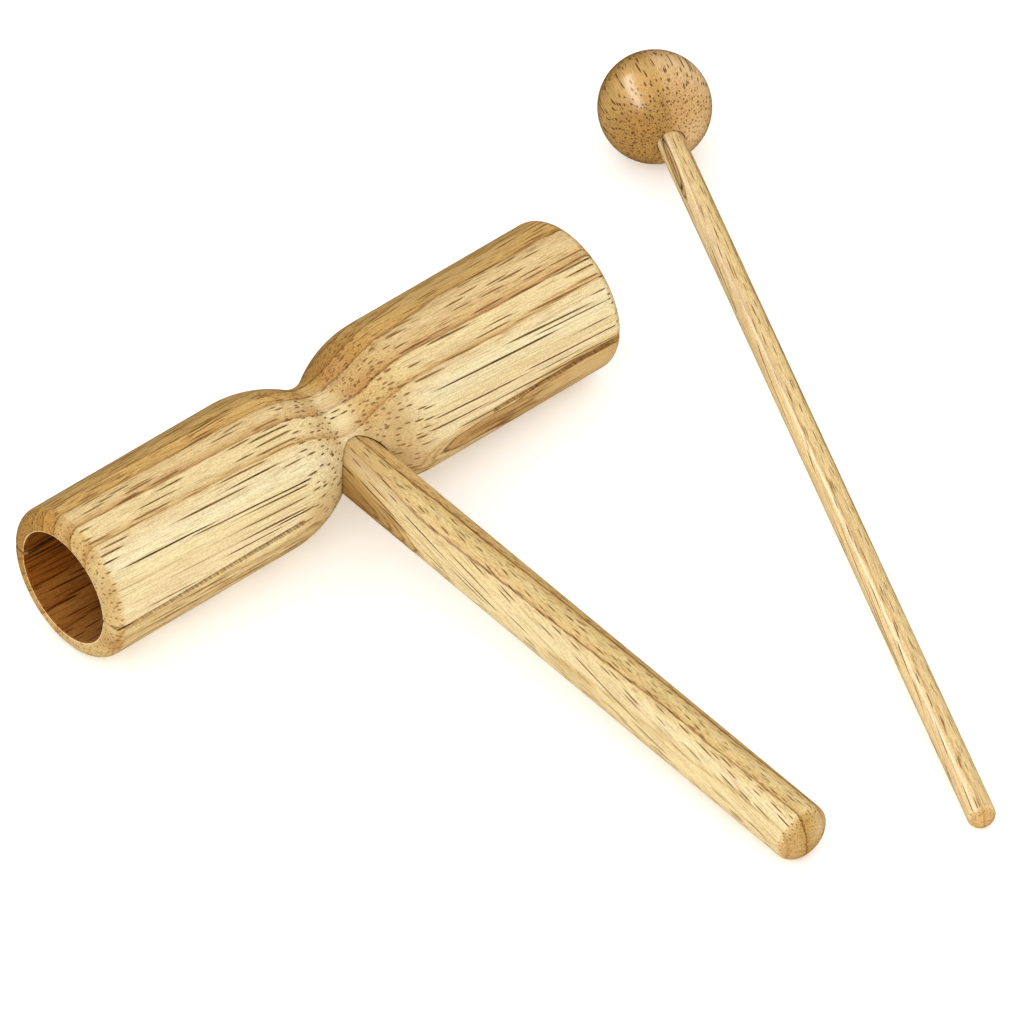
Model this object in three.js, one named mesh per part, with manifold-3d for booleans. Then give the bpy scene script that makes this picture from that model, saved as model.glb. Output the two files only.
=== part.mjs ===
// A two-tone wooden tone block with its beater, laid out on a table.
// The block is one turned piece of wood: a thick-walled tube with a waist in the middle, a blind
// chamber drilled in from each mouth and a saw kerf through both side walls of each chamber. The
// deeper chamber sounds the lower note. A plain dowel, glued into a socket in the waist, is the
// handle. The beater is a wooden ball glued on the end of a thin dowel.
// Lengths are in millimetres. On the table +X runs along the tube towards the shallower chamber,
// the handle points to -Y, and +Z is up.

import * as THREE from "three";
import { mergeVertices } from "three/addons/utils/BufferGeometryUtils.js";
import Module from "manifold-3d";

// The turned body. Its reaches are measured from the middle of the waist to each mouth.
const tubeRadius = 22.5;
const wallThickness = 6.15;
const leftReach = 90.6;
const rightReach = 89.4;
const waistRadius = 15.1;
const waistFilletRadius = 10;
const shoulderRadius = 36;

// Each mouth has a narrow flat ring between the rounded rim and the sanded edge of the bore.
const mouthRingWidth = 1.4;
const boreEdgeRadius = 0.7;

// Solid wood left between the handle's socket and the flat bottom of each chamber.
const leftWebThickness = 11.3;
const rightWebThickness = 28.5;

// The kerfs lie in the plane of the tube and the handle. The wood closes up a little towards the
// mouth of the deeper chamber, so that kerf is narrower there.
const kerfShortOfBottom = 5;
const leftKerfRootGap = 1.9;
const leftKerfMouthGap = 1.3;
const rightKerfRootGap = 1.7;
const rightKerfMouthGap = 1.7;

// The handle, with its reach from the tube's axis to its tip, and its socket in the waist.
const handleRadius = 8.35;
const handleReach = 199.4;
const handleDomeHeight = 4.7;
const socketFloorThickness = 10;

// The beater, with its reach from the ball's middle to the stick's tip.
const headRadius = 16;
const stickRadius = 3.9;
const stickReach = 296.6;
const stickDomeHeight = 3;
const headBoreDepth = 24;

// Room for the glue round a dowel in its hole, and how far a cutter runs past what it cuts.
const glueGap = 0.3;
const overrun = 2;

// Where the ball lies, measured from the middle of the waist, and how far the stick is turned
// from the handle's direction.
const headAcross = 162.4;
const headBehind = 49.5;
const stickTurn = THREE.MathUtils.degToRad(-24.1);

// Facets round a turned piece, and steps along one arc of its profile.
const bodyFacets = 64;
const handleFacets = 40;
const headFacets = 40;
const stickFacets = 24;
const bodyArcSteps = 3;
const dowelArcSteps = 3;
const ballArcSteps = 10;

const wasm = await Module();
wasm.setup();

function solidOf(geometry) {
  const bare = geometry.clone();
  bare.deleteAttribute("normal");
  bare.deleteAttribute("uv");
  const merged = mergeVertices(bare);
  return new wasm.Manifold(
    new wasm.Mesh({
      numProp: 3,
      vertProperties: merged.attributes.position.array,
      triVerts: new Uint32Array(merged.index.array),
    }),
  );
}

function geometryOf(solid) {
  const mesh = solid.getMesh();
  const geometry = new THREE.BufferGeometry();
  geometry.setAttribute("position", new THREE.BufferAttribute(mesh.vertProperties, 3));
  geometry.setIndex(new THREE.BufferAttribute(mesh.triVerts, 1));
  geometry.computeVertexNormals();
  return geometry;
}

// Turns a profile, drawn as radius and place along the axis, about +X.
function turnAboutX(profile, arcSteps, facets) {
  const geometry = new THREE.LatheGeometry(profile.getPoints(arcSteps), facets);
  return geometry.rotateZ(-Math.PI / 2);
}

// The same, with the profile's places along the axis running towards -Y.
function turnTowardsHandle(profile, arcSteps, facets) {
  const geometry = new THREE.LatheGeometry(profile.getPoints(arcSteps), facets);
  return geometry.rotateZ(Math.PI);
}

const chamberRadius = tubeRadius - wallThickness;
const rimRadius = wallThickness - mouthRingWidth - boreEdgeRadius;
const socketRadius = handleRadius + glueGap;
const leftChamberBottom = socketRadius + leftWebThickness;
const rightChamberBottom = socketRadius + rightWebThickness;

// The waist is a hollow arc that runs tangent into a rounded shoulder on each side, and each
// shoulder runs tangent into the straight tube.
const ogeeRadius = waistFilletRadius + shoulderRadius;
const ogeeAngle = Math.acos(1 - (tubeRadius - waistRadius) / ogeeRadius);
const waistHalfWidth = ogeeRadius * Math.sin(ogeeAngle);

function bodyProfile() {
  const profile = new THREE.Path();
  const quarter = Math.PI / 2;
  const flatRadius = tubeRadius - rimRadius;
  const shoulderCentre = tubeRadius - shoulderRadius;
  const waistCentre = waistRadius + waistFilletRadius;
  profile.moveTo(0, -leftReach);
  profile.lineTo(flatRadius, -leftReach);
  profile.absarc(flatRadius, rimRadius - leftReach, rimRadius, -quarter, 0, false);
  profile.absarc(shoulderCentre, -waistHalfWidth, shoulderRadius, 0, ogeeAngle, false);
  profile.absarc(waistCentre, 0, waistFilletRadius, Math.PI + ogeeAngle, Math.PI - ogeeAngle, true);
  profile.absarc(shoulderCentre, waistHalfWidth, shoulderRadius, -ogeeAngle, 0, false);
  profile.absarc(flatRadius, rightReach - rimRadius, rimRadius, 0, quarter, false);
  profile.lineTo(0, rightReach);
  return profile;
}

// A cutter for one chamber, drawn from its bottom to past its mouth, that flares out over the
// sanded edge of the bore.
function chamberCutter(bottom, reach) {
  const profile = new THREE.Path();
  const mouthRadius = chamberRadius + boreEdgeRadius;
  profile.moveTo(0, bottom);
  profile.lineTo(chamberRadius, bottom);
  profile.absarc(mouthRadius, reach - boreEdgeRadius, boreEdgeRadius, Math.PI, Math.PI / 2, true);
  profile.lineTo(mouthRadius, reach + overrun);
  profile.lineTo(0, reach + overrun);
  return turnAboutX(profile, bodyArcSteps, bodyFacets);
}

// A cutter for the kerf of one chamber: a thin wedge, as wide as the tube and a little more, that
// runs from near the chamber's bottom out through its mouth.
function kerfCutter(root, reach, rootGap, mouthGap) {
  const outline = new THREE.Shape();
  outline.moveTo(root, -rootGap / 2);
  outline.lineTo(reach, -mouthGap / 2);
  outline.lineTo(reach + overrun, -mouthGap / 2);
  outline.lineTo(reach + overrun, mouthGap / 2);
  outline.lineTo(reach, mouthGap / 2);
  outline.lineTo(root, rootGap / 2);
  const depth = 2 * (tubeRadius + overrun);
  const geometry = new THREE.ExtrudeGeometry(outline, { depth, bevelEnabled: false });
  return geometry.rotateX(Math.PI / 2).translate(0, depth / 2, 0);
}

function dowelProfile(start, end, radius, domeHeight) {
  const profile = new THREE.Path();
  profile.moveTo(0, start);
  profile.lineTo(radius, start);
  profile.absellipse(0, end - domeHeight, radius, domeHeight, 0, Math.PI / 2, false);
  return profile;
}

const socketEnd = socketFloorThickness - waistRadius;

function bodyGeometry() {
  const halfTurn = Math.PI;
  const leftChamber = chamberCutter(leftChamberBottom, leftReach).rotateZ(halfTurn);
  const rightChamber = chamberCutter(rightChamberBottom, rightReach);
  const leftKerf = kerfCutter(
    leftChamberBottom + kerfShortOfBottom,
    leftReach,
    leftKerfRootGap,
    leftKerfMouthGap,
  ).rotateZ(halfTurn);
  const rightKerf = kerfCutter(
    rightChamberBottom + kerfShortOfBottom,
    rightReach,
    rightKerfRootGap,
    rightKerfMouthGap,
  );
  const socketLength = tubeRadius - socketEnd;
  const socket = new THREE.CylinderGeometry(socketRadius, socketRadius, socketLength, handleFacets);
  socket.translate(0, -socketEnd - socketLength / 2, 0);
  let body = solidOf(turnAboutX(bodyProfile(), bodyArcSteps, bodyFacets));
  for (const cutter of [leftChamber, rightChamber, leftKerf, rightKerf, socket]) {
    body = body.subtract(solidOf(cutter));
  }
  return geometryOf(body);
}

function handleGeometry() {
  const profile = dowelProfile(socketEnd + glueGap, handleReach, handleRadius, handleDomeHeight);
  return turnTowardsHandle(profile, dowelArcSteps, handleFacets);
}

// The ball, turned with its blind bore already in it.
function headGeometry() {
  const boreRadius = stickRadius + glueGap;
  const boreAngle = Math.asin(boreRadius / headRadius);
  const mouth = headRadius * Math.cos(boreAngle);
  const profile = new THREE.Path();
  profile.absarc(0, 0, headRadius, -Math.PI / 2, Math.PI / 2 - boreAngle, false);
  profile.lineTo(boreRadius, mouth - headBoreDepth);
  profile.lineTo(0, mouth - headBoreDepth);
  return turnTowardsHandle(profile, ballArcSteps, headFacets);
}

function stickGeometry() {
  const boreAngle = Math.asin((stickRadius + glueGap) / headRadius);
  const boreBottom = headRadius * Math.cos(boreAngle) - headBoreDepth;
  const profile = dowelProfile(boreBottom + glueGap, stickReach, stickRadius, stickDomeHeight);
  return turnTowardsHandle(profile, dowelArcSteps, stickFacets);
}

// How far a long piece tips down when its thick end and the edge of its thin end both lie on the
// table.
function restingTilt(thickRadius, thinRadius, reach) {
  return Math.asin(thickRadius / Math.hypot(reach, thinRadius)) - Math.atan2(thinRadius, reach);
}

function piece(name, geometry, colour, roughness) {
  const material = new THREE.MeshStandardMaterial({ color: colour, roughness, metalness: 0 });
  const mesh = new THREE.Mesh(geometry, material);
  mesh.name = name;
  return mesh;
}

// Pale straw-coloured hardwood under a satin clear lacquer. The ball is cut from a browner piece.
const block = new THREE.Group();
block.add(piece("tone_block_body", bodyGeometry(), 0xe6c88f, 0.42));
block.add(piece("handle", handleGeometry(), 0xe3c488, 0.42));
block.rotation.x = restingTilt(tubeRadius, handleRadius, handleReach - handleDomeHeight);
block.position.z = tubeRadius;

const beater = new THREE.Group();
beater.add(piece("beater_head", headGeometry(), 0xcfa467, 0.38));
beater.add(piece("beater_stick", stickGeometry(), 0xeccb8c, 0.42));
beater.rotation.x = restingTilt(headRadius, stickRadius, stickReach - stickDomeHeight);

const beaterPlace = new THREE.Group();
beaterPlace.add(beater);
beaterPlace.rotation.z = stickTurn;
beaterPlace.position.set(headAcross, headBehind, headRadius);

// The set's origin is on the table, under the middle of its bounding box.
const toneBlock = new THREE.Group();
toneBlock.add(block, beaterPlace);
const bounds = new THREE.Box3().setFromObject(toneBlock, true);
const middle = bounds.getCenter(new THREE.Vector3());
toneBlock.position.set(-middle.x, -middle.y, -bounds.min.z);

export default toneBlock;
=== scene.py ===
# A turned wooden tone block with two slotted chambers and a dowel handle, and its ball-headed
# beater, lying on a pale table. Lengths are in metres, and those of a wood's figure, its pores and
# its marks in millimetres.
import math

import bmesh
import bpy
from mathutils import Matrix, Vector


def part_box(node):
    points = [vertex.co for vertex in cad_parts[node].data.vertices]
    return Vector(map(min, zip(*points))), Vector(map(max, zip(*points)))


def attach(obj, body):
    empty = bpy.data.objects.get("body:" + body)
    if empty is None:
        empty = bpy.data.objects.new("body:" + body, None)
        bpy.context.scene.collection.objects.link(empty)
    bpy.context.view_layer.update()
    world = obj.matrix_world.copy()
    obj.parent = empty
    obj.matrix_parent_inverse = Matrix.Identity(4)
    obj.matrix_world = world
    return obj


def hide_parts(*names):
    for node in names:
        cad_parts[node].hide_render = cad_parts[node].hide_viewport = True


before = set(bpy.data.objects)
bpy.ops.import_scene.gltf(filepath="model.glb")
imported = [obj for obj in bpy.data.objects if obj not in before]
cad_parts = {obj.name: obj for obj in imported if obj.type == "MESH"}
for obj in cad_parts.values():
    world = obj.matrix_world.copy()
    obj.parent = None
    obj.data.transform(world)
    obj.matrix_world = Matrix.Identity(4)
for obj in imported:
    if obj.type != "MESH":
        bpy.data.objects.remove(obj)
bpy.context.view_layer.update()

# The body of the block
# One piece of pale rubberwood, turned to a thick tube with a waist, bored blind from each end,
# and sawn through both side walls of each chamber so that the wood can speak. The outside is
# sanded and lacquered, while the bores and the saw cuts are bare.
tube_radius = 0.0225
bore_radius = 0.01635
rim_radius = 0.00405
bore_edge_radius = 0.0007
waist_radius = 0.0151
waist_fillet = 0.010
shoulder_radius = 0.036
left_web = 0.0113
right_web = 0.0285
glue_gap = 0.0003
kerf_short_of_bottom = 0.005
left_kerf_gaps = (0.0019, 0.0013)
right_kerf_gaps = (0.0017, 0.0017)
kerf_arris = 0.00018
handle_radius = 0.00835
handle_reach = 0.1994
handle_dome = 0.0047
socket_floor = 0.010
past_the_cut = 0.002
millimetre = 0.001
quarter_turn = math.pi / 2
crease_angle = math.radians(40)

body_low, body_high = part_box("tone_block_body")
handle_low, handle_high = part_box("handle")
waist_place = Vector((
    (handle_low.x + handle_high.x) / 2,
    (body_low.y + body_high.y) / 2,
    (body_low.z + body_high.z) / 2,
))
left_reach = waist_place.x - body_low.x
right_reach = body_high.x - waist_place.x
left_bottom = -(handle_radius + glue_gap + left_web)
right_bottom = handle_radius + glue_gap + right_web
socket_end = socket_floor - waist_radius


def resting_tilt(thick_radius, thin_radius, reach):
    """How far a long piece tips down when both its ends lie on the table."""
    return math.asin(thick_radius / math.hypot(reach, thin_radius)) - math.atan2(thin_radius, reach)


block_tilt = resting_tilt(tube_radius, handle_radius, handle_reach - handle_dome)
block_place = Matrix.Translation(waist_place) @ Matrix.Rotation(block_tilt, 4, "X")


def line_to(shape, pen, along, radius):
    """Draws a turned profile on in a straight line."""
    corner = bmesh.ops.extrude_vert_indiv(shape, verts=[pen])["verts"][0]
    corner.co = (along, 0, radius)
    return corner


def arc_to(shape, pen, along, radius, angle, steps):
    """Draws a turned profile on round a centre."""
    arc = bmesh.ops.spin(
        shape, geom=[pen], cent=(along, 0, radius), axis=(0, 1, 0), angle=angle, steps=steps
    )
    return [part for part in arc["geom_last"] if isinstance(part, bmesh.types.BMVert)][0]


def turn(shape, steps):
    """Spins a profile round the X axis into a closed skin that faces out."""
    profile = shape.verts[:] + shape.edges[:]
    bmesh.ops.spin(
        shape, geom=profile, cent=(0, 0, 0), axis=(1, 0, 0),
        angle=2 * math.pi, steps=steps, use_merge=True,
    )
    bmesh.ops.remove_doubles(shape, verts=shape.verts[:], dist=1e-6)
    bmesh.ops.recalc_face_normals(shape, faces=shape.faces[:])


def made_piece(shape, name, materials):
    """Turns a finished shape into an object of the scene."""
    mesh = bpy.data.meshes.new(name)
    shape.to_mesh(mesh)
    shape.free()
    for material in materials:
        mesh.materials.append(material)
    made = bpy.data.objects.new(name, mesh)
    bpy.context.scene.collection.objects.link(made)
    return made


def linear(colour):
    """The linear value of an sRGB hex colour."""
    shares = [int(colour[place:place + 2], 16) / 255 for place in (1, 3, 5)]
    return [s / 12.92 if s <= 0.04045 else ((s + 0.055) / 1.055) ** 2.4 for s in shares] + [1]


def add(nodes, kind, feeds, **settings):
    """Adds a node with its settings, and feeds its sockets with values, outputs or whole nodes.

    A node that is fed in gives the first of its outputs that is in use.
    """
    new = nodes.new(kind)
    for name, value in settings.items():
        setattr(new, name, value)
    for socket, value in feeds.items():
        if isinstance(value, bpy.types.Node):
            value = next(output for output in value.outputs if output.enabled)
        if isinstance(value, bpy.types.NodeSocket):
            nodes.id_data.links.new(value, new.inputs[socket])
        else:
            new.inputs[socket].default_value = value
    return new


def rubberwood(
    name, place, fibres, pith, pith_course, layers, vessel_spacing, vessel_radius,
    raw=False, roughness=0.42, gloss=0.06, coat=0.05, coat_roughness=0.16, end_grain="#E4D3B8",
    streak_tone="#B4977A", streak_share=0.9, end_pores=0.55, tan_pores=0.5, tool_marks=None,
    tint="#FFFFFF", fan=None, swellings=(), tone_shade_and_light_spots=(), painted_cut_shade=None,
):
    """Pale diffuse-porous hardwood, cut anywhere out of one modelled plank.

    place is a point of the piece, fibres the direction of its grain, and pith a point of the
    line that its growth layers lie round. The layers are pairs of a depth in millimetres from
    the pith and a colour. end_pores and tan_pores say how much of the vessels' darkness is left
    where they are cut across and in tan wood. fan spreads the layers that are less deep than a
    given depth towards one end of the plank. swellings are low humps in the layers, each with
    its centre, size and height, and tone_shade_and_light_spots are spots that turn towards a colour, each
    with its centre, size, share and colour. tool_marks gives the pitch of the marks and their
    darkest and lightest tone, and tint the colour of wood that no lacquer covers. painted_cut_shade
    gives the frame of a turned piece, its radius, its reach to each end, and the depth at which
    a saw cut in it is dark.
    """
    material = bpy.data.materials.new(name)
    material.use_nodes = True
    nodes = material.node_tree.nodes
    nodes.clear()
    factor, first, second = 0, 6, 7  # the sockets of a Mix node that mixes colours
    along = Vector((1, 0, 0))
    in_millimetres = (millimetre, millimetre, millimetre)
    coordinates = add(nodes, "ShaderNodeTexCoord", {})
    here = coordinates.outputs["Object"]
    grain = add(nodes, "ShaderNodeMapping", {
        "Vector": here,
        "Location": place,
        "Rotation": along.rotation_difference(fibres).to_euler(),
        "Scale": in_millimetres,
    }, vector_type="TEXTURE")
    growth = add(nodes, "ShaderNodeMapping", {
        "Vector": here,
        "Location": pith,
        "Rotation": along.rotation_difference(pith_course).to_euler(),
        "Scale": in_millimetres,
    }, vector_type="TEXTURE")

    def threads(length, width, detail):
        """Unevenness drawn out along the fibres, to a length and width in millimetres."""
        stretched = add(nodes, "ShaderNodeVectorMath", {
            0: grain, 1: (1 / length, 1 / width, 1 / width),
        }, operation="MULTIPLY")
        return add(nodes, "ShaderNodeTexNoise", {
            "Vector": stretched, "Scale": 1.0, "Detail": detail, "Roughness": 0.55,
        })

    def spot(centre, size, most):
        """A spot that fades out smoothly over a size in millimetres."""
        from_centre = add(nodes, "ShaderNodeMapping", {
            "Vector": here,
            "Location": centre,
            "Rotation": along.rotation_difference(fibres).to_euler(),
            "Scale": [millimetre * length for length in size],
        }, vector_type="TEXTURE")
        away = add(nodes, "ShaderNodeVectorMath", {0: from_centre}, operation="LENGTH")
        return add(nodes, "ShaderNodeMapRange", {
            "Value": away, "To Min": most, "To Max": 0,
        }, interpolation_type="SMOOTHSTEP")

    # Depth from the pith, wavering a little along the plank, with feathered edges.
    across = add(nodes, "ShaderNodeVectorMath", {0: growth, 1: (0, 1, 1)}, operation="MULTIPLY")
    depth = add(nodes, "ShaderNodeVectorMath", {0: across}, operation="LENGTH")
    if fan:
        fan_depth, fan_start, fan_end, fan_share = fan
        share = add(nodes, "ShaderNodeMapRange", {
            "Value": add(nodes, "ShaderNodeSeparateXYZ", {0: growth}),
            "From Min": fan_start, "From Max": fan_end, "To Max": fan_share,
        })
        short_of = add(nodes, "ShaderNodeMath", {0: depth, 1: fan_depth}, operation="SUBTRACT")
        short_of = add(nodes, "ShaderNodeMath", {0: short_of, 1: 0}, operation="MINIMUM")
        spread = add(nodes, "ShaderNodeMath", {0: short_of, 1: share}, operation="MULTIPLY")
        depth = add(nodes, "ShaderNodeMath", {0: depth, 1: spread}, operation="SUBTRACT")
    for centre, size, height in swellings:
        depth = add(nodes, "ShaderNodeMath", {0: depth, 1: spot(centre, size, height)})
    sway = add(nodes, "ShaderNodeMapRange", {
        "Value": threads(length=45, width=12, detail=1),
        "From Min": 0.2, "From Max": 0.8, "To Min": -0.6, "To Max": 0.6,
    })
    feather = add(nodes, "ShaderNodeMapRange", {
        "Value": threads(length=9, width=0.7, detail=2),
        "From Min": 0.2, "From Max": 0.8, "To Min": -0.22, "To Max": 0.22,
    })
    swayed = add(nodes, "ShaderNodeMath", {0: depth, 1: sway})
    feathered = add(nodes, "ShaderNodeMath", {0: swayed, 1: feather})
    first_depth, last_depth = layers[0][0], layers[-1][0]
    through_layers = add(nodes, "ShaderNodeMapRange", {
        "Value": feathered, "From Min": first_depth, "From Max": last_depth,
    })
    layer_tone = add(nodes, "ShaderNodeValToRGB", {"Fac": through_layers})
    stops = layer_tone.color_ramp.elements
    while len(stops) < len(layers):
        stops.new(1)
    for stop, (layer_depth, colour) in zip(stops, layers):
        stop.position = (layer_depth - first_depth) / (last_depth - first_depth)
        stop.color = linear(colour)

    # Broad warm streaks, hair lines of small vessels that crowd in the darker layers, fibres and
    # a light mottle. Real fibres are far finer, and are drawn 0.3 mm wide so that they show.
    shaded_fibre, lit_fibre = (0.88, 0.85, 0.79, 1), (1.08, 1.09, 1.11, 1)
    layer_paleness = add(nodes, "ShaderNodeSeparateXYZ", {0: layer_tone}).outputs["Y"]
    crowding = add(nodes, "ShaderNodeMapRange", {
        "Value": layer_paleness, "From Min": 0.4, "From Max": 0.66,
        "To Min": streak_share, "To Max": 0.45 * streak_share,
    })
    flush = add(nodes, "ShaderNodeMapRange", {
        "Value": threads(length=50, width=2.2, detail=3),
        "From Min": 0.48, "From Max": 0.78, "To Max": 0.35,
    })
    hairs = add(nodes, "ShaderNodeMapRange", {
        "Value": threads(length=30, width=0.32, detail=1), "From Min": 0.55, "From Max": 0.66,
    })
    crowded = add(nodes, "ShaderNodeMath", {0: hairs, 1: crowding}, operation="MULTIPLY")
    streaks = add(nodes, "ShaderNodeMath", {0: flush, 1: crowded}, operation="MAXIMUM")
    streak_colour = add(nodes, "ShaderNodeVectorMath", {
        0: layer_tone, 1: linear(streak_tone)[:3],
    }, operation="MULTIPLY")
    streaked = add(nodes, "ShaderNodeMix", {
        factor: streaks, first: layer_tone, second: streak_colour,
    }, data_type="RGBA")
    fine = threads(length=4, width=0.3, detail=2)
    fibre_share = add(nodes, "ShaderNodeMapRange", {
        "Value": fine, "From Min": 0.3, "From Max": 0.7,
    })
    fibre_tone = add(nodes, "ShaderNodeMix", {
        factor: fibre_share, first: shaded_fibre, second: lit_fibre,
    }, data_type="RGBA")
    fibred = add(nodes, "ShaderNodeVectorMath", {0: streaked, 1: fibre_tone}, operation="MULTIPLY")
    mottle = add(nodes, "ShaderNodeMapRange", {
        "Value": threads(length=0.6, width=0.4, detail=1),
        "From Min": 0.3, "From Max": 0.7, "To Min": 0.88, "To Max": 1.12,
    })
    mottled = add(nodes, "ShaderNodeVectorMath", {0: fibred, 1: mottle}, operation="MULTIPLY")

    # Cut across the fibres, the wood drinks in the lacquer and looks darker and redder. The
    # fibres dip a little, so that it shows more on one slope of the waist than on the other.
    dip = 0.11
    endwise = add(nodes, "ShaderNodeVectorMath", {
        0: coordinates.outputs["Normal"], 1: fibres.normalized(),
    }, operation="DOT_PRODUCT")
    dipped = add(nodes, "ShaderNodeMath", {0: endwise, 1: dip}, operation="SUBTRACT")
    endwise = add(nodes, "ShaderNodeMath", {0: dipped}, operation="ABSOLUTE")
    drunk_in = add(nodes, "ShaderNodeMapRange", {
        "Value": endwise, "From Max": 0.7,
    }, interpolation_type="SMOOTHSTEP")
    cut_tone = add(nodes, "ShaderNodeMix", {
        factor: drunk_in, first: linear("#FFFFFF"), second: linear(end_grain),
    }, data_type="RGBA")
    tone_and_painted_light = add(nodes, "ShaderNodeVectorMath", {0: mottled, 1: cut_tone}, operation="MULTIPLY")
    # Spots that turn towards a colour: some are the wood's own tone, some painted shade or
    # highlight.
    for centre, size, share, tone in tone_shade_and_light_spots:
        tone_and_painted_light = add(nodes, "ShaderNodeMix", {
            factor: spot(centre, size, share), first: tone_and_painted_light, second: linear(tone),
        }, data_type="RGBA")

    # Open vessels, a network of long wandering tubes that the surface cuts into dashes where it
    # runs along them, and into dots where it runs across. Real ones are 0.2 to 0.3 mm wide, and
    # some are drawn up to 0.5 mm wide so that they show. They wander by a part of a millimetre.
    wander_sideways = (0, 0.9, 0.9)
    wander = add(nodes, "ShaderNodeVectorMath", {
        0: threads(length=34, width=5, detail=1).outputs["Color"], 1: (0.5, 0.5, 0.5),
    }, operation="SUBTRACT")
    wander = add(nodes, "ShaderNodeVectorMath", {
        0: wander, 1: wander_sideways,
    }, operation="MULTIPLY")
    bundle = add(nodes, "ShaderNodeVectorMath", {0: grain, 1: wander})
    split = add(nodes, "ShaderNodeSeparateXYZ", {0: bundle})
    section = add(nodes, "ShaderNodeCombineXYZ", {"X": split.outputs["Y"], "Y": split.outputs["Z"]})
    cells = add(nodes, "ShaderNodeTexVoronoi", {
        "Vector": section, "Scale": 1 / vessel_spacing, "Randomness": 1.0,
    }, voronoi_dimensions="2D", feature="F1")
    chance = add(nodes, "ShaderNodeSeparateXYZ", {0: cells.outputs["Color"]})
    vessel_edge = add(nodes, "ShaderNodeMapRange", {
        "Value": chance.outputs["X"], "To Min": 0.7 * vessel_radius, "To Max": 1.25 * vessel_radius,
    })
    from_middle = add(nodes, "ShaderNodeMath", {
        0: cells.outputs["Distance"], 1: vessel_spacing,
    }, operation="MULTIPLY")
    inside = add(nodes, "ShaderNodeMath", {0: vessel_edge, 1: from_middle}, operation="SUBTRACT")
    open_share = add(nodes, "ShaderNodeMapRange", {
        "Value": inside, "From Min": -0.02, "From Max": 0.04,
    })

    # How dark each vessel looks, and the wood round it, which is stained.
    brown_share = (0.30, 0.17, 0.03)
    darkness = add(nodes, "ShaderNodeMapRange", {"Value": chance.outputs["Y"], "To Min": 0.93})
    cut_across = add(nodes, "ShaderNodeMapRange", {
        "Value": endwise, "From Min": 0.3, "From Max": 0.9, "To Min": 1, "To Max": end_pores,
    })
    paleness = add(nodes, "ShaderNodeSeparateXYZ", {0: tone_and_painted_light}).outputs["Y"]
    in_tan_wood = add(nodes, "ShaderNodeMapRange", {
        "Value": paleness, "From Min": 0.35, "From Max": 0.6, "To Min": tan_pores,
    })
    darkness = add(nodes, "ShaderNodeMath", {0: darkness, 1: cut_across}, operation="MULTIPLY")
    darkness = add(nodes, "ShaderNodeMath", {0: darkness, 1: in_tan_wood}, operation="MULTIPLY")
    pore = add(nodes, "ShaderNodeMath", {0: open_share, 1: darkness}, operation="MULTIPLY")
    browned = add(nodes, "ShaderNodeVectorMath", {
        0: tone_and_painted_light, 1: brown_share,
    }, operation="MULTIPLY")
    dustiness = add(nodes, "ShaderNodeMapRange", {
        "Value": chance.outputs["Z"], "From Min": 0.4, "From Max": 0.9,
    })
    dark_lining = add(nodes, "ShaderNodeMix", {
        factor: dustiness, first: linear("#1A1500"), second: linear("#5E4216"),
    }, data_type="RGBA")
    in_pale_wood = add(nodes, "ShaderNodeMapRange", {
        "Value": paleness, "From Min": 0.5, "From Max": 0.66,
    })
    lining = add(nodes, "ShaderNodeMix", {
        factor: in_pale_wood, first: browned, second: dark_lining,
    }, data_type="RGBA")
    stain = add(nodes, "ShaderNodeMapRange", {
        "Value": inside, "From Min": -0.5 * vessel_radius, "From Max": 0, "To Max": 0.4,
    })
    stained = add(nodes, "ShaderNodeMix", {
        factor: stain, first: tone_and_painted_light, second: browned,
    }, data_type="RGBA")
    finished = add(nodes, "ShaderNodeMix", {
        factor: pore, first: stained, second: lining,
    }, data_type="RGBA")

    # The relief in millimetres: fibres stand up a little, and open vessels are hollows.
    fibre_relief, vessel_relief, ridge_relief = 0.012, 0.10, 0.02
    fibre_height = add(nodes, "ShaderNodeMapRange", {"Value": fine, "To Max": fibre_relief})
    hollow = add(nodes, "ShaderNodeMath", {
        0: open_share, 1: vessel_relief,
    }, operation="MULTIPLY")
    height = add(nodes, "ShaderNodeMath", {0: fibre_height, 1: hollow}, operation="SUBTRACT")

    # Marks that a bit or a saw leaves across the grain of bare wood.
    if tool_marks:
        pitch, dark_mark, light_mark = tool_marks
        in_pitches = add(nodes, "ShaderNodeMath", {
            0: add(nodes, "ShaderNodeSeparateXYZ", {0: grain}), 1: 1 / pitch,
        }, operation="MULTIPLY")
        marks = add(nodes, "ShaderNodeTexNoise", {
            "W": in_pitches, "Scale": 1.0, "Detail": 1.0,
        }, noise_dimensions="1D")
        mark_tone = add(nodes, "ShaderNodeMapRange", {
            "Value": marks, "From Min": 0.3, "From Max": 0.7,
            "To Min": dark_mark, "To Max": light_mark,
        })
        marked = add(nodes, "ShaderNodeVectorMath", {
            0: finished, 1: mark_tone,
        }, operation="MULTIPLY")
        finished = add(nodes, "ShaderNodeVectorMath", {
            0: marked, 1: linear(tint)[:3],
        }, operation="MULTIPLY")
        ridges = add(nodes, "ShaderNodeMapRange", {
            "Value": marks, "From Min": 0.3, "From Max": 0.7, "To Max": ridge_relief,
        })
        height = add(nodes, "ShaderNodeMath", {0: height, 1: ridges})
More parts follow.
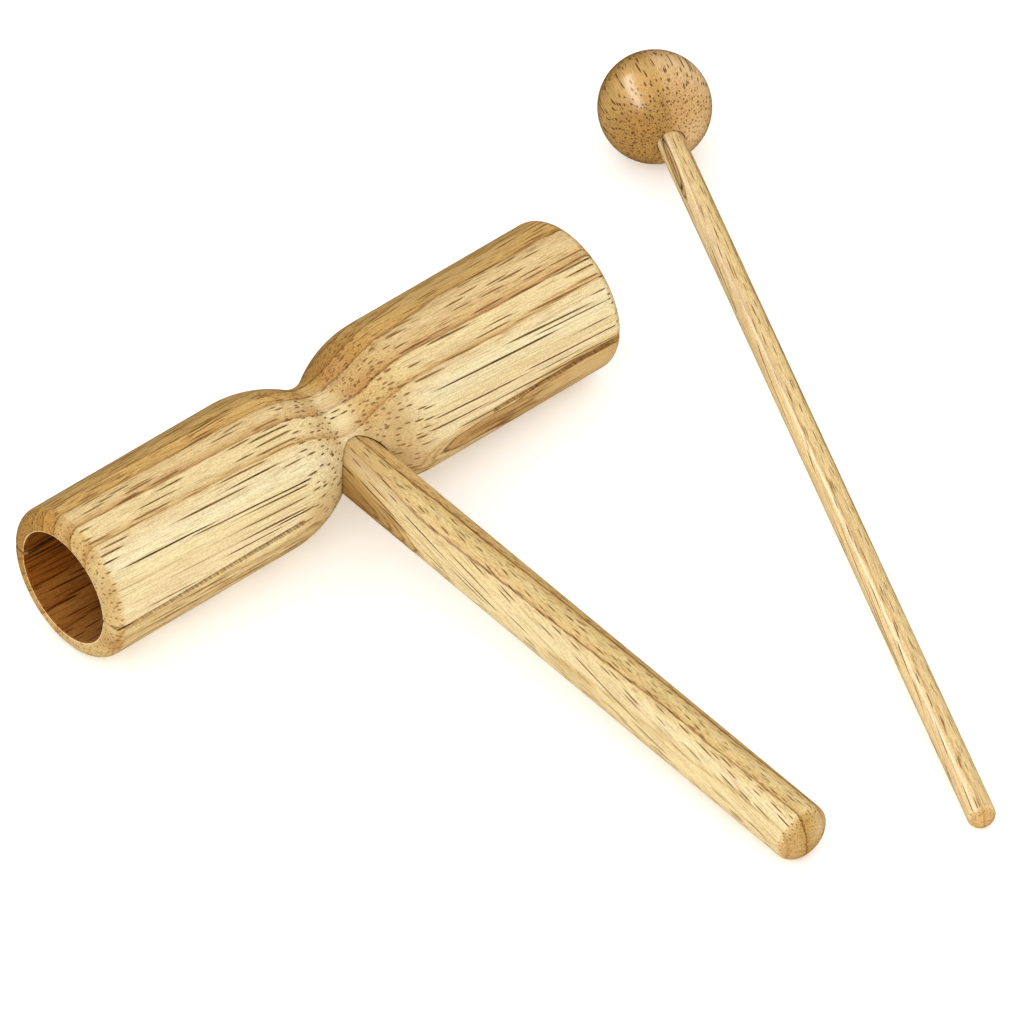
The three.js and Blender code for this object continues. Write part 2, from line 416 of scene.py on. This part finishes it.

    # Painted shade that darkens a saw cut, from a short way below the turned surface.
    if painted_cut_shade:
        turning_frame, turned_radius, far_left, far_right, shade_depth = painted_cut_shade
        shade_share = (0.38, 0.27, 0.16)
        turned = add(nodes, "ShaderNodeMapping", {
            "Vector": here,
            "Location": turning_frame.to_translation(),
            "Rotation": turning_frame.to_euler(),
        }, vector_type="TEXTURE")
        spoke = add(nodes, "ShaderNodeVectorMath", {0: turned, 1: (0, 1, 1)}, operation="MULTIPLY")
        radius = add(nodes, "ShaderNodeVectorMath", {0: spoke}, operation="LENGTH")
        course = add(nodes, "ShaderNodeSeparateXYZ", {0: turned})
        under_skin = add(nodes, "ShaderNodeMath", {
            0: turned_radius, 1: radius,
        }, operation="SUBTRACT")
        from_left = add(nodes, "ShaderNodeMath", {0: course, 1: far_left})
        from_right = add(nodes, "ShaderNodeMath", {0: far_right, 1: course}, operation="SUBTRACT")
        from_end = add(nodes, "ShaderNodeMath", {
            0: from_left, 1: from_right,
        }, operation="MINIMUM")
        cut_depth = add(nodes, "ShaderNodeMath", {
            0: under_skin, 1: from_end,
        }, operation="MINIMUM")
        painted_shade = add(nodes, "ShaderNodeMapRange", {
            "Value": cut_depth, "From Min": 0.35 * shade_depth, "From Max": shade_depth,
        })
        shaded_colour = add(nodes, "ShaderNodeVectorMath", {
            0: finished, 1: shade_share,
        }, operation="MULTIPLY")
        finished = add(nodes, "ShaderNodeMix", {
            factor: painted_shade, first: finished, second: shaded_colour,
        }, data_type="RGBA")

    # Fibres differ a little in gloss, and open vessels are dull. Bare wood hardly shines.
    bump = add(nodes, "ShaderNodeBump", {"Height": height, "Distance": millimetre, "Strength": 1.0})
    fibre_gloss = add(nodes, "ShaderNodeMapRange", {
        "Value": fine, "From Min": 0.25, "From Max": 0.75,
        "To Min": roughness + 0.06, "To Max": roughness - 0.05,
    })
    dull_pore = add(nodes, "ShaderNodeMapRange", {"Value": pore, "To Max": 0.3})
    shine = add(nodes, "ShaderNodeMath", {0: fibre_gloss, 1: dull_pore})
    shader = add(nodes, "ShaderNodeBsdfPrincipled", {
        "Base Color": finished, "Roughness": shine, "Normal": bump,
        "IOR": 1.5, "Specular IOR Level": 0.05 if raw else gloss,
        "Coat Weight": 0.0 if raw else coat, "Coat Roughness": coat_roughness,
    })
    add(nodes, "ShaderNodeOutputMaterial", {"Surface": shader})
    return material


def in_block(along, across, up):
    """A place on the block, from the middle of its waist, in the scene."""
    return block_place @ Vector((along, across, up))


def block_course(along, across, up):
    """A direction on the block, in the scene."""
    return (block_place.to_3x3() @ Vector((along, across, up))).normalized()


# How the wood of the block grew, so that its layers, humps and pale or dark places fall where
# they show on the real one. Some of these places are painted shade or a painted highlight.
body_timber = dict(
    place=in_block(0, -0.0035, 0.006),
    fibres=block_course(1, -0.026, -0.060),
    pith=in_block(0, 0.0311, 0.0174),
    pith_course=block_course(1, -0.0279, 0.0599),
    layers=(
        (20.6, "#C09E62"), (21.2, "#A68248"), (21.6, "#CAA766"), (25.1, "#C19D5C"),
        (25.6, "#A57B41"), (26.0, "#D5AF6C"), (30.1, "#CFA864"), (30.7, "#A57D43"),
        (31.0, "#D6BA83"), (33.5, "#E2C793"), (36.8, "#D0AD76"), (37.4, "#A27945"),
        (37.7, "#E6D19D"), (41.5, "#E4CE9B"), (43.2, "#D0B079"), (43.5, "#BB955D"),
        (43.9, "#E0C998"), (48.5, "#E8DAB1"), (52.0, "#E4D2A1"), (56.0, "#E7D4A7"),
        (56.9, "#E0C994"), (57.2, "#C3A168"), (57.4, "#E0C792"), (57.8, "#DBC08A"),
        (58.0, "#B8945B"), (58.2, "#DFC590"), (58.5, "#DABD87"), (58.8, "#80582A"),
        (59.1, "#C6A168"), (60.2, "#BE995F"), (60.6, "#9C7440"), (61.0, "#C4A066"),
    ),
    vessel_spacing=1.55,
    vessel_radius=0.235,
    fan=(37.4, -10, 45, 0.42),
    swellings=(
        (in_block(0.0345, -0.0222, -0.0035), (22, 7, 7), 3.2),
        (in_block(0.084, -0.0222, -0.0050), (60, 12, 12), 6.5),
        (in_block(0, -0.004, 0.0151), (9, 16, 9), 1.5),
    ),
    tone_shade_and_light_spots=(
        # A painted highlight: the bright band across the hollow of the waist.
        (in_block(-0.0008, -0.0075, 0.0131), (9, 15, 13), 0.4, "#ECD8AC"),
        (in_block(0.079, -0.0205, -0.0085), (38, 13, 13), 0.65, "#D6B680"),
        (in_block(0.0475, -0.0215, -0.0068), (5, 6, 5), 0.5, "#7A4E24"),
        # Painted shade on the slopes either side of the handle's root.
        (in_block(-0.014, -0.0190, -0.0040), (11, 10, 12), 0.35, "#C69A5E"),
        (in_block(0.014, -0.0195, -0.0020), (13, 11, 13), 0.35, "#C69A5E"),
        # Painted shade on the front of the left slope, next to the waist.
        (in_block(-0.0205, -0.0215, 0.0005), (9, 8, 8), 0.5, "#BD9048"),
        # Painted shade on the round of the left rim that turns away from the light.
        (in_block(-0.0895, -0.0180, 0.0100), (4, 8, 9), 0.4, "#AC8A58"),
        (in_block(-0.062, -0.0190, -0.0120), (36, 8, 8), 0.4, "#EBD2A0"),
        # Painted shade on the left rim just below the saw cut.
        (in_block(-0.0895, -0.0190, -0.0065), (5, 7, 6), 0.75, "#A87C46"),
        (in_block(0.0130, -0.0175, 0.0110), (7, 6, 7), 0.35, "#B08A48"),
        (in_block(0.054, 0.0085, 0.0205), (40, 9, 8), 0.5, "#B0905C"),
    ),
)

# A satin lacquer keeps the wood straw-coloured, with its pores as brown dashes, and gives it a
# broad, soft sheen.
lacquered_body = rubberwood("lacquered_rubberwood_body", **body_timber)

# Bare wood that a bit has rubbed looks dull; its darker, redder tone is partly painted shade.
bored_wood_and_shade = rubberwood(
    "bored_rubberwood_and_shade", raw=True, roughness=0.6, tool_marks=(1.1, 0.75, 0.8), tint="#D29C62",
    streak_tone="#8A6A48", streak_share=1.0, **body_timber
)

# Bare wood off the saw looks dry and pale, with fine dark and light marks, and has shade painted
# into it deep in the cut.
sawn_wood = rubberwood(
    "sawn_rubberwood", raw=True, roughness=0.75, tool_marks=(0.8, 0.7, 1.42), tint="#FAF3EA",
    painted_cut_shade=(block_place, tube_radius, left_reach, right_reach, 0.0030), **body_timber
)

# Sandpaper leaves a thin ring of bare wood at each mouth, dull and even, and it is painted pale as
# a highlight along the edge of each bore. Its one toned place reaches far past the block, so it
# evens out all of the ring.
everywhere = (300, 300, 300)
sanded_highlight_timber = dict(body_timber, tone_shade_and_light_spots=((waist_place, everywhere, 0.7, "#E2C48E"),))
sanded_wood_and_highlight = rubberwood(
    "sanded_rubberwood_highlight", raw=True, roughness=0.5, end_grain="#FFFFFF", **sanded_highlight_timber
)

# The lacquered outside is the finish of a face that is given no other.
body_finishes = (lacquered_body, bored_wood_and_shade, sawn_wood, sanded_wood_and_highlight)
bored_and_shaded_finish, sawn_finish, sanded_highlight_finish = 1, 2, 3


def turned_body():
    """The lathe work: the outside of the tube and both chambers."""
    ogee = waist_fillet + shoulder_radius
    ogee_angle = math.acos(1 - (tube_radius - waist_radius) / ogee)
    half_width = ogee * math.sin(ogee_angle)
    rim_centre = tube_radius - rim_radius
    shoulder_centre = tube_radius - shoulder_radius
    edge = bore_edge_radius
    shape = bmesh.new()
    pen = shape.verts.new((left_bottom, 0, 0))
    pen = line_to(shape, pen, left_bottom, bore_radius)
    pen = line_to(shape, pen, edge - left_reach, bore_radius)
    pen = arc_to(shape, pen, edge - left_reach, bore_radius + edge, quarter_turn, steps=4)
    pen = line_to(shape, pen, -left_reach, rim_centre)
    pen = arc_to(shape, pen, rim_radius - left_reach, rim_centre, quarter_turn, steps=10)
    pen = line_to(shape, pen, -half_width, tube_radius)
    pen = arc_to(shape, pen, -half_width, shoulder_centre, ogee_angle, steps=16)
    pen = arc_to(shape, pen, 0, waist_radius + waist_fillet, -2 * ogee_angle, steps=14)
    pen = arc_to(shape, pen, half_width, shoulder_centre, ogee_angle, steps=16)
    pen = line_to(shape, pen, right_reach - rim_radius, tube_radius)
    pen = arc_to(shape, pen, right_reach - rim_radius, rim_centre, quarter_turn, steps=10)
    pen = line_to(shape, pen, right_reach, bore_radius + edge)
    pen = arc_to(shape, pen, right_reach - edge, bore_radius + edge, quarter_turn, steps=4)
    pen = line_to(shape, pen, right_bottom, bore_radius)
    line_to(shape, pen, right_bottom, 0)
    turn(shape, steps=72)

    # Only the outer part of the rounded edge of each bore is sanded, and painted pale as a
    # highlight.
    bored_until = bore_radius + 0.6 * edge
    for face in shape.faces:
        middle = face.calc_center_median()
        out = math.hypot(middle.y, middle.z)
        on_the_left = middle.x < left_bottom + past_the_cut
        on_the_right = middle.x > right_bottom - past_the_cut
        at_a_mouth = middle.x < edge - left_reach or middle.x > right_reach - edge
        if at_a_mouth and bored_until < out < bore_radius + edge:
            face.material_index = sanded_highlight_finish
        elif (on_the_left or on_the_right) and out < bored_until:
            face.material_index = bored_and_shaded_finish
    return made_piece(shape, "block_body", body_finishes)


def kerf_saw(root, mouth, root_gap, mouth_gap):
    """The wedge of wood that a saw takes out between a chamber's root and its mouth."""
    out = math.copysign(past_the_cut, mouth)
    shape = bmesh.new()
    wedge = bmesh.ops.create_cube(shape, size=1)["verts"]
    bmesh.ops.scale(shape, verts=wedge, vec=(1, 2 * (tube_radius + past_the_cut), 1))
    for v in wedge:
        at_mouth = v.co.x > 0
        v.co.x = mouth + out if at_mouth else root
        v.co.z *= mouth_gap if at_mouth else root_gap
    bmesh.ops.recalc_face_normals(shape, faces=shape.faces[:])
    for face in shape.faces:
        face.material_index = sawn_finish
    return made_piece(shape, "kerf_saw", body_finishes)


def socket_drill():
    """The bit that drills the waist for the handle."""
    length = tube_radius - socket_end
    shape = bmesh.new()
    bit_radius = handle_radius + glue_gap
    bmesh.ops.create_cone(
        shape, segments=64, radius1=bit_radius, radius2=bit_radius, depth=length, cap_ends=True,
        matrix=Matrix.Translation((0, -socket_end - length / 2, 0))
        @ Matrix.Rotation(quarter_turn, 4, "X"),
    )
    for face in shape.faces:
        face.smooth = len(face.verts) == 4
        face.material_index = sawn_finish
    return made_piece(shape, "socket_drill", body_finishes)


body = turned_body()
kerf_root_left = left_bottom - kerf_short_of_bottom
kerf_root_right = right_bottom + kerf_short_of_bottom
cutters = [
    kerf_saw(kerf_root_left, -left_reach, *left_kerf_gaps),
    kerf_saw(kerf_root_right, right_reach, *right_kerf_gaps),
    socket_drill(),
]
for cutter in cutters:
    cut = body.modifiers.new("cut", "BOOLEAN")
    cut.operation = "DIFFERENCE"
    cut.solver = "EXACT"
    cut.object = cutter
cut_body = bpy.data.meshes.new_from_object(
    body.evaluated_get(bpy.context.evaluated_depsgraph_get())
)
body.modifiers.clear()
body.data = cut_body
for cutter in cutters:
    bpy.data.objects.remove(cutter)

# The arrises of the cuts are eased with sandpaper.
shape = bmesh.new()
shape.from_mesh(cut_body)
arrises = [
    edge for edge in shape.edges
    if sum(face.material_index == sawn_finish for face in edge.link_faces) == 1
]
bmesh.ops.bevel(
    shape, geom=arrises, offset=kerf_arris, segments=2, profile=0.5, affect="EDGES",
    material=-1, clamp_overlap=False,
)
for face in shape.faces:
    face.smooth = True
shape.to_mesh(cut_body)
shape.free()
cut_body.transform(block_place)
cut_body.set_sharp_from_angle(angle=crease_angle)
even = body.modifiers.new("even_shading", "WEIGHTED_NORMAL")
even.keep_sharp = True
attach(body, "tone_block")
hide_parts("tone_block_body")

# The handle
# A lacquered dowel of the same wood, with a domed end, glued into a blind socket that is drilled
# square into the waist.
handle_layers = (
    (50.0, "#C8A871"), (56.0, "#DABB80"), (58.6, "#CCA768"), (59.1, "#7C562B"),
    (59.5, "#D6B677"), (62.0, "#E0C88F"), (65.3, "#DCBE82"), (65.75, "#97703C"),
    (66.1, "#DFC68E"), (67.6, "#E3CD98"), (68.5, "#E4CF9E"), (70.2, "#E4CF9E"),
    (70.5, "#CDB27A"), (70.8, "#E2CC98"), (73.2, "#E2CB98"), (74.1, "#D6BA80"),
    (74.4, "#A07A42"), (74.7, "#CFB178"), (75.7, "#C4A369"), (76.0, "#8C6634"),
    (76.3, "#C09E64"), (77.3, "#B8945A"), (77.6, "#7E5A2C"), (77.9, "#B4905A"),
    (78.8, "#AC8850"), (79.1, "#7A5628"), (79.4, "#A8844C"), (81.0, "#A07C46"),
)

# The same satin lacquer over finer pores, on wood that goes from cream to brown round the dowel.
lacquered_handle = rubberwood(
    "lacquered_rubberwood_handle",
    place=in_block(0, -0.1, 0),
    fibres=block_course(-0.05, -1, -0.11),
    pith=in_block(0.060, -0.020, 0),
    pith_course=block_course(0.0228, -1, 0),
    layers=handle_layers,
    vessel_spacing=1.1,
    vessel_radius=0.14,
    gloss=0.12,
    end_grain="#DAC4A2",
    end_pores=0.3,
    tan_pores=0.65,
    # This hump brings darker layers up on the left of the handle's root: partly the wood's figure,
    # partly painted shade where the body shades the handle.
    swellings=((in_block(-0.00835, -0.016, 0.001), (62, 13, 13), 13.0),),
    tone_shade_and_light_spots=(
        # Painted shade on the top of the handle's root, next to the body.
        (in_block(-0.0048, -0.017, 0.0068), (30, 11, 11), 0.65, "#B8945C"),
        (in_block(0.0066, -0.0300, 0.0052), (20, 6, 6), 0.45, "#E8B972"),
        # Painted shadow on the left side of the handle's root, beside the body.
        (in_block(-0.0083, -0.0240, -0.0010), (12, 7, 7), 0.4, "#8A5E28"),
        (in_block(0.0045, -0.1975, 0.0020), (7, 7, 7), 0.5, "#E6CC96"),
    ),
)


def turned_dowel(name, start, end, radius, dome, steps, material):
    """A dowel along the X axis with one domed end."""
    shape = bmesh.new()
    pen = shape.verts.new((start, 0, 0))
    pen = line_to(shape, pen, start, radius)
    pen = line_to(shape, pen, end - dome, radius)
    before = set(shape.verts)
    arc_to(shape, pen, end - dome, 0, quarter_turn, steps=12)
    domed = [v for v in shape.verts if v not in before]
    bmesh.ops.scale(
        shape, verts=domed, vec=(dome / radius, 1, 1),
        space=Matrix.Translation((dome - end, 0, 0)),
    )
    turn(shape, steps)
    for face in shape.faces:
        face.smooth = True
    return made_piece(shape, name, [material])


handle = turned_dowel(
    "handle_dowel", start=socket_end + glue_gap, end=handle_reach, radius=handle_radius,
    dome=handle_dome, steps=72, material=lacquered_handle,
)
towards_tip = Matrix.Rotation(-quarter_turn, 4, "Z")
handle.data.transform(block_place @ towards_tip)
handle.data.set_sharp_from_angle(angle=crease_angle)
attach(handle, "tone_block")
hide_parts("handle")

# The beater's ball
# A ball turned from a browner piece of wood with larger vessels, bored for the stick and lacquered
# to a soft shine.
ball_radius = 0.016
stick_radius = 0.0039
stick_reach = 0.2966
stick_dome = 0.003
ball_bore_depth = 0.024
stick_turn = math.radians(-24.1)
ball_low, ball_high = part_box("beater_head")
ball_place = (ball_low + ball_high) / 2
beater_tilt = resting_tilt(ball_radius, stick_radius, stick_reach - stick_dome)
beater_place = (
    Matrix.Translation(ball_place)
    @ Matrix.Rotation(stick_turn, 4, "Z")
    @ Matrix.Rotation(beater_tilt, 4, "X")
)


def in_beater(along, across, up):
    """A place on the beater, from the middle of its ball, in the scene."""
    return beater_place @ Vector((along, across, up))


def beater_course(along, across, up):
    """A direction on the beater, in the scene."""
    return (beater_place.to_3x3() @ Vector((along, across, up))).normalized()


# A glossier lacquer on tan wood gives a small clear highlight, and the end grain shows as dots.
lacquered_ball = rubberwood(
    "lacquered_hardwood_ball",
    place=ball_place,
    fibres=beater_course(0.05, -1, 0.06),
    pith=in_beater(-0.040, 0, 0.010),
    pith_course=beater_course(0.05, -1, 0.03),
    layers=(
        (20.0, "#BE9652"), (30.0, "#C39B57"), (36.0, "#C8A25F"), (38.5, "#C6A060"),
        (39.8, "#CDA767"), (40.5, "#DCB67F"), (44.0, "#E3BD88"), (50.0, "#EAC692"),
        (60.0, "#E4C48C"),
    ),
    vessel_spacing=1.3,
    vessel_radius=0.21,
    gloss=0.2,
    end_grain="#E8DCC4",
    end_pores=0.7,
    tan_pores=0.95,
    coat=0.8,
    coat_roughness=0.22,
    roughness=0.4,
    tone_shade_and_light_spots=(
        # Partly the wood's own tone and partly a painted sheen round the highlight.
        (in_beater(-0.0060, -0.0040, 0.0140), (11, 11, 11), 0.5, "#E6B465"),
        (in_beater(0.0066, -0.0146, -0.0002), (9, 9, 9), 0.4, "#F0CF98"),
    ),
)


def turned_ball():
    """The ball with its blind bore, along the X axis."""
    bore = stick_radius + glue_gap
    bore_angle = math.asin(bore / ball_radius)
    mouth = ball_radius * math.cos(bore_angle)
    shape = bmesh.new()
    pen = shape.verts.new((-ball_radius, 0, 0))
    pen = arc_to(shape, pen, 0, 0, math.pi - bore_angle, steps=44)
    pen = line_to(shape, pen, mouth - ball_bore_depth, bore)
    line_to(shape, pen, mouth - ball_bore_depth, 0)
    turn(shape, steps=80)
    for face in shape.faces:
        face.smooth = True
    return made_piece(shape, "beater_ball", [lacquered_ball])


ball = turned_ball()
ball.data.transform(beater_place @ towards_tip)
ball.data.set_sharp_from_angle(angle=crease_angle)
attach(ball, "beater")
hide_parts("beater_head")

# The beater's stick
# A thin pale dowel with a rounded tip, glued into the ball.
# The ball's lacquer on cream wood gives a bright streak along it, beside a few thin brown lines.
lacquered_stick = rubberwood(
    "lacquered_rubberwood_stick",
    place=in_beater(0, -0.15, 0),
    fibres=beater_course(-0.03, -1, -0.05),
    pith=in_beater(0.050, 0, 0),
    pith_course=beater_course(0.006, -1, 0),
    layers=(
        (44.0, "#D6B172"), (47.4, "#DEBA7C"), (47.8, "#C69C60"), (48.2, "#EBCE90"),
        (51.6, "#EACD94"), (52.2, "#D6AF72"), (52.6, "#EDD198"), (56.2, "#ECCF98"),
        (56.5, "#8A5F2E"), (56.8, "#DDB97A"), (57.3, "#4E3014"), (57.7, "#D9B474"),
        (58.4, "#A47C45"), (58.8, "#DDB97A"),
    ),
    vessel_spacing=0.9,
    vessel_radius=0.11,
    gloss=0.2,
    swellings=((in_beater(-0.0030, -0.024, 0.0030), (34, 3.2, 3.2), 5.5),),
    coat=0.7,
    coat_roughness=0.22,
)
ball_bore_bottom = (
    ball_radius * math.cos(math.asin((stick_radius + glue_gap) / ball_radius)) - ball_bore_depth
)
stick = turned_dowel(
    "beater_dowel", start=ball_bore_bottom + glue_gap, end=stick_reach, radius=stick_radius,
    dome=stick_dome, steps=48, material=lacquered_stick,
)
stick.data.transform(beater_place @ towards_tip)
stick.data.set_sharp_from_angle(angle=crease_angle)
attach(stick, "beater")
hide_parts("beater_stick")

# The table
# A plain matt white sheet, lit faintly from below as on a picture-taking table, that runs on past
# the edges of the view. It isn't mirrored in the lacquer.
table_reach = 6
shape = bmesh.new()
bmesh.ops.create_grid(shape, x_segments=4, y_segments=4, size=table_reach)

# Matt paper with a very faint cloudiness has no shine and looks an even, near white.
sheet = bpy.data.materials.new("matt_white_sheet")
sheet.use_nodes = True
nodes = sheet.node_tree.nodes
nodes.clear()
clouds = add(nodes, "ShaderNodeTexNoise", {
    "Vector": add(nodes, "ShaderNodeTexCoord", {}).outputs["Object"],
    "Scale": 3.0, "Detail": 2.0,
})
paper = add(nodes, "ShaderNodeValToRGB", {"Fac": clouds})
paper.color_ramp.elements[0].color = linear("#F4F3F1")
paper.color_ramp.elements[1].color = linear("#F7F6F4")
matt = add(nodes, "ShaderNodeBsdfPrincipled", {
    "Base Color": paper, "Roughness": 0.9, "Specular IOR Level": 0.1,
    "Emission Color": (1, 1, 1, 1), "Emission Strength": 0.25,
})
add(nodes, "ShaderNodeOutputMaterial", {"Surface": matt})
table = made_piece(shape, "table", [sheet])
table.visible_glossy = False

# The lights
# A white room, a very large soft box at the camera's left, and a long strip box that hangs level
# behind the set and only shows as the sheen in the lacquer.
world = bpy.data.worlds.new("white_room")
bpy.context.scene.world = world
world.use_nodes = True
world.node_tree.nodes["Background"].inputs["Color"].default_value = (1, 1, 1, 1)
world.node_tree.nodes["Background"].inputs["Strength"].default_value = 1.0
world.cycles_visibility.glossy = False


def soft_box(name, over, towards, distance, width, height, power):
    """A rectangular light that shines at one place of the set."""
    lamp = bpy.data.lights.new(name, "AREA")
    lamp.shape = "RECTANGLE"
    lamp.size = width
    lamp.size_y = height
    lamp.energy = power
    box = bpy.data.objects.new(name, lamp)
    course = Vector(towards).normalized()
    box.matrix_world = (
        Matrix.Translation(over + course * distance)
        @ course.to_track_quat("Z", "Y").to_matrix().to_4x4()
    )
    bpy.context.scene.collection.objects.link(box)
    return box


left_box = soft_box(
    "soft_box_left", over=Vector(), towards=(-0.58, -0.48, 0.66), distance=2.6,
    width=2.4, height=2.4, power=25,
)
left_box.visible_glossy = False
strip_box = soft_box(
    "strip_box", over=ball_place, towards=(-0.582, 0.358, 0.733), distance=1.6,
    width=2.4, height=0.42, power=27,
)
strip_box.visible_diffuse = False

# The camera
# A long lens that looks down on the set from the front left.
camera_azimuth = math.radians(-38.956)
camera_elevation = math.radians(41.264)
camera_roll = math.radians(-2.621)
camera_distance = 3.94996
aim = Vector((-0.010356, 0.039302, 0))
lens = bpy.data.cameras.new("long_lens")
lens.lens = 512.735
lens.sensor_width = 36
lens.clip_end = 50
camera = bpy.data.objects.new("camera", lens)
stance = (
    Matrix.Rotation(camera_azimuth, 4, "Z")
    @ Matrix.Rotation(quarter_turn - camera_elevation, 4, "X")
    @ Matrix.Rotation(camera_roll, 4, "Z")
)
camera.matrix_world = Matrix.Translation(aim) @ stance @ Matrix.Translation((0, 0, camera_distance))
bpy.context.scene.collection.objects.link(camera)
bpy.context.scene.camera = camera
bpy.context.scene.view_settings.view_transform = "Standard"
